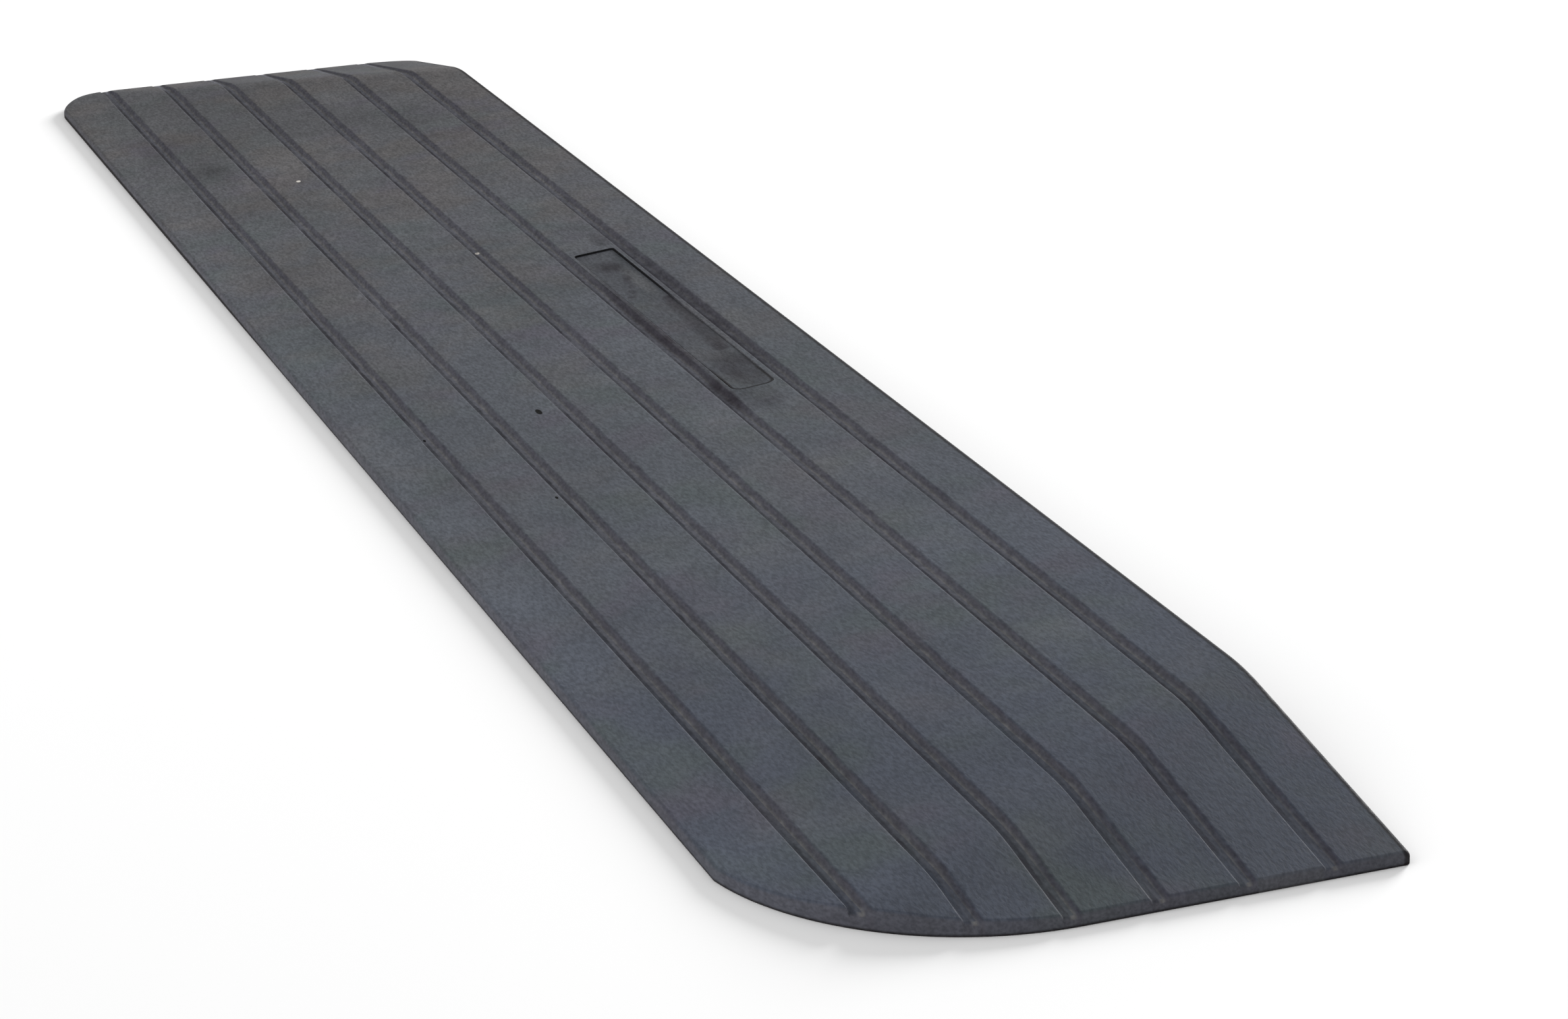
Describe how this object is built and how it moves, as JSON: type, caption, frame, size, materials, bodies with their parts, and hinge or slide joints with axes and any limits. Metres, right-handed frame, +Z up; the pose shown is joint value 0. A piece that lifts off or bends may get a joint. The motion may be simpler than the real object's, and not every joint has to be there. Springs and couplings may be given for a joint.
{
  "type": "threshold ramp",
  "caption": "Long, low rubber wedge with sloping ends and a grooved top, laid on the floor against a raised threshold so that wheels roll over the step.",
  "frame": {"origin": "on the floor, under the middle of the ramp's length and depth", "axes": "+X along the threshold, to the right as seen from the toe; +Y from the toe to the threshold; +Z up"},
  "size_m": [1.22, 0.21, 0.0249],
  "materials": {
    "rubber": "matt moulded rubber, slate grey",
    "panel": "matt rubber sheet, bare"
  },
  "bodies": {
    "root": {"ramp_body": "rubber", "panel_inlay": "panel"}
  },
  "joints": []
}
